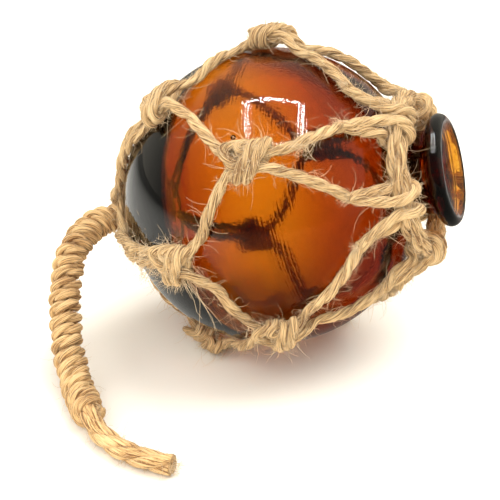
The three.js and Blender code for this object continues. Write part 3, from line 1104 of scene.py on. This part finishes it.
# %% The glass
GLASS_STEPS = 160
SEAM = 1e-6
SEED_AT = (-2.4, -43.3, 43.4)
SEED_RADIUS = 1.1
TOOL_MARKS_FROM, TOOL_MARKS_TO = -0.006, 0.016
RING_SCALE, RING_HEIGHT = 900.0, 0.00006
SPECK_SCALE, SPECK_HEIGHT = 750.0, 0.00003
WAVE_SCALE, WAVE_HEIGHT = 26.0, 0.0006
GLASS_TINT = (0.98, 0.92, 0.76, 1)
AMBER = (0.87, 0.70, 0.10, 1)
AMBER_DEPTH = 680


def spin_glass(outline):
    """The outline turned once round the axis, with the seed in it."""
    bm = bmesh.new()
    verts = [bm.verts.new(Vector((BELOW * x + AXIS * y) * MM)) for x, y in outline]
    edges = [bm.edges.new(pair) for pair in zip(verts, verts[1:])]
    bmesh.ops.spin(
        bm,
        geom=verts + edges,
        cent=(0, 0, 0),
        axis=Vector(AXIS),
        angle=2 * math.pi,
        steps=GLASS_STEPS,
        use_merge=True,
    )
    bmesh.ops.remove_doubles(bm, verts=bm.verts, dist=SEAM)
    bmesh.ops.recalc_face_normals(bm, faces=bm.faces)
    seed = bmesh.ops.create_icosphere(
        bm, subdivisions=2, radius=SEED_RADIUS * MM, matrix=Matrix.Translation(Vector(SEED_AT) * MM)
    )
    bmesh.ops.reverse_faces(bm, faces=list({face for vert in seed["verts"] for face in vert.link_faces}))
    bmesh.ops.translate(bm, verts=bm.verts, vec=Vector(CENTRE * MM))
    return bm


def amber_glass():
    """A clear, slightly wavy surface round a body that turns what is behind it amber."""
    material, start, shader = start_material("amber glass")
    place = own_place(start)
    axis_way = start.make("ShaderNodeVectorMath", {"operation": "DOT_PRODUCT"}, [place, tuple(AXIS)], "Value")
    near_mouth = rise(axis_way, TOOL_MARKS_FROM, TOOL_MARKS_TO)
    rings = noise(start.make("ShaderNodeCombineXYZ", inputs=[axis_way]), RING_SCALE)
    waves = noise(place, WAVE_SCALE, 1.5)
    specks = noise(place, SPECK_SCALE, 1.0)
    rough = rings * RING_HEIGHT + specks * SPECK_HEIGHT
    height = rough * near_mouth + waves * WAVE_HEIGHT
    look = {
        "Normal": bumps(height, 1.0),
        "Base Color": GLASS_TINT,
        "Transmission Weight": 1.0,
        "Roughness": 0.0,
        "IOR": 1.5,
    }
    plug(shader, look)
    body = start.make("ShaderNodeVolumeAbsorption", inputs={"Color": AMBER, "Density": AMBER_DEPTH})
    plug(next(n for n in start.tree.nodes if n.type == "OUTPUT_MATERIAL"), {"Volume": body})
    return material


glass = add_piece("blown_glass_ball", [(spin_glass(glass_outline()), amber_glass())])
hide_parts("glass_ball")

# %% [markdown]
# ## The table and the suns
# The table is pale and runs on past the picture's edge, so that it turns white in the light. A soft, wide
# sun from the right and behind gives the shadow its side. A second, wider one from the front lights the
# cords on the side that we see.

# %% The table and the suns
TABLE_SIZE = 4
TABLE_COLOUR = (0.90, 0.86, 0.77, 1)
SUN_FROM, SUN_STRENGTH, SUN_WIDTH = (0.42, 0.38, 1.0), 4.0, 60
FILL_FROM, FILL_STRENGTH, FILL_WIDTH = (-0.28, -1.02, 0.9), 3.8, 90


def flat_sheet(name, size, height, material):
    """A square in the ground, size metres each way from the middle."""
    bm = bmesh.new()
    bmesh.ops.create_grid(bm, x_segments=1, y_segments=1, size=size)
    bmesh.ops.translate(bm, verts=bm.verts, vec=(0, 0, height))
    mesh = bpy.data.meshes.new(name)
    bm.to_mesh(mesh)
    bm.free()
    mesh.materials.append(material)
    sheet = bpy.data.objects.new(name, mesh)
    bpy.context.scene.collection.objects.link(sheet)
    return sheet


def make_table():
    material, _, shader = start_material("table")
    plug(shader, {"Base Color": TABLE_COLOUR, "Roughness": 0.9, "Specular IOR Level": 0.1})
    table = flat_sheet("table", TABLE_SIZE, 0, material)
    table.visible_glossy = False
    table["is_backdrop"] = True


def make_sun(name, direction, strength, width):
    data = bpy.data.lights.new(name, "SUN")
    data.energy = strength
    data.angle = math.radians(width)
    sun = bpy.data.objects.new(name, data)
    sun.rotation_euler = Vector(direction).to_track_quat("Z", "Y").to_euler()
    sun.visible_glossy = False
    bpy.context.scene.collection.objects.link(sun)


make_table()
make_sun("soft sun", SUN_FROM, SUN_STRENGTH, SUN_WIDTH)
make_sun("front fill", FILL_FROM, FILL_STRENGTH, FILL_WIDTH)
print("The suns are", SUN_WIDTH, "and", FILL_WIDTH, "degrees wide")

# %% [markdown]
# ## What the glass mirrors of the table
# In the picture the glass mirrors a bright table at the left and behind, and a dark one at the front.
# The table itself can't do that here, because it is evenly lit. So a second sheet just under it glows,
# and only mirror-like surfaces see it.

# %% What the glass mirrors of the table
GLOW_SIZE = 3
GLOW_HEIGHT = -0.003
GLOW_LEFT = (-0.05, 0.24)
GLOW_BEHIND, GLOW_BEHIND_SHARE = (0.05, 0.4), 0.8
GLOW_NEAR = (-1.1, -0.2)
GLOW_DARK = (0.14, 0.135, 0.12, 1)
GLOW_BRIGHT = (1.25, 1.22, 1.12, 1)


def make_floor_glow():
    material, start, shader = start_material("mirrored table")
    x, y, _ = split(own_place(start))
    left = rise(x * -1, *GLOW_LEFT)
    behind = rise(y, *GLOW_BEHIND)
    far = x.maths("SQRT", x * x + y * y)
    near_by = rise(far * -1, *GLOW_NEAR)
    most = left.maths("MAXIMUM", left, behind * GLOW_BEHIND_SHARE) * near_by
    colour = mixed(most, GLOW_DARK, GLOW_BRIGHT)
    plug(shader, {"Emission Color": colour, "Emission Strength": 1, "Base Color": (0, 0, 0, 1)})
    glow = flat_sheet("mirrored table", GLOW_SIZE, GLOW_HEIGHT, material)
    glow.visible_camera = False
    glow.visible_diffuse = False
    glow.visible_transmission = False
    glow.visible_shadow = False
    glow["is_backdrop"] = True
    return glow


print("The", make_floor_glow().name, "reaches", GLOW_SIZE, "m each way")

# %% [markdown]
# ## The mirrored window
# The outline of a bright window shows on top of the ball. Only its frame is bright, so four thin bars
# overhead make it, each as wide and as bright as its side of the outline. Its corners were found by
# following the outline's corners back from the glass to a plane one metre up.

# %% The mirrored window
WINDOW = [(-0.268, 0.102, 1), (0.245, 0.219, 1), (0.497, -0.365, 1), (-0.162, -0.552, 1)]
BAR_WIDTHS = (0.02, 0.045, 0.02, 0.03)
BAR_RADIANCE = (60, 45, 16, 80)


def make_window_bar(name, start, end, width, radiance):
    """A thin bright bar overhead that only mirror-like surfaces see."""
    a, b = Vector(start), Vector(end)
    data = bpy.data.lights.new(name, "AREA")
    data.shape = "RECTANGLE"
    data.size = (b - a).length
    data.size_y = width
    data.energy = radiance * math.pi * data.size * width
    bar = bpy.data.objects.new(name, data)
    bar.location = (a + b) / 2
    bar.rotation_euler = (0, 0, math.atan2(b.y - a.y, b.x - a.x))
    bar.visible_diffuse = False
    bar.visible_transmission = False
    bar.visible_camera = False
    bpy.context.scene.collection.objects.link(bar)
    return data.size


for i, width in enumerate(BAR_WIDTHS):
    start, end = WINDOW[i], WINDOW[(i + 1) % len(WINDOW)]
    length = make_window_bar(f"window bar {i + 1}", start, end, width, BAR_RADIANCE[i])
    print("Window bar", i + 1, "is", round(length, 2), "m long")

# %% [markdown]
# ## The room
# The room's even grey fills the shadows. It is darker towards the front, where the picture was taken
# from, so that the ball's front mirrors less of it.

# %% The room
ROOM_DARKENS = (-0.75, 0.3)
ROOM_FRONT = (0.10, 0.094, 0.085, 1)
ROOM_BACK = (0.53, 0.495, 0.42, 1)

world = bpy.data.worlds.new("room")
world.use_nodes = True
_, backward, _ = split(Wire(world.node_tree).make("ShaderNodeTexCoord", output="Generated"))
tone = mixed(rise(backward, *ROOM_DARKENS), ROOM_FRONT, ROOM_BACK)
plug(world.node_tree.nodes["Background"], {"Color": tone})
bpy.context.scene.world = world
bpy.context.scene.view_settings.view_transform = "Standard"
print("The room's grey goes from", ROOM_FRONT[0], "at the front to", ROOM_BACK[0], "at the back")

# %% Sizes
VISUAL_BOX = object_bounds()
low, high = ([round(x, 4) for x in corner] for corner in VISUAL_BOX)
print("The pieces reach from", low, "to", high)
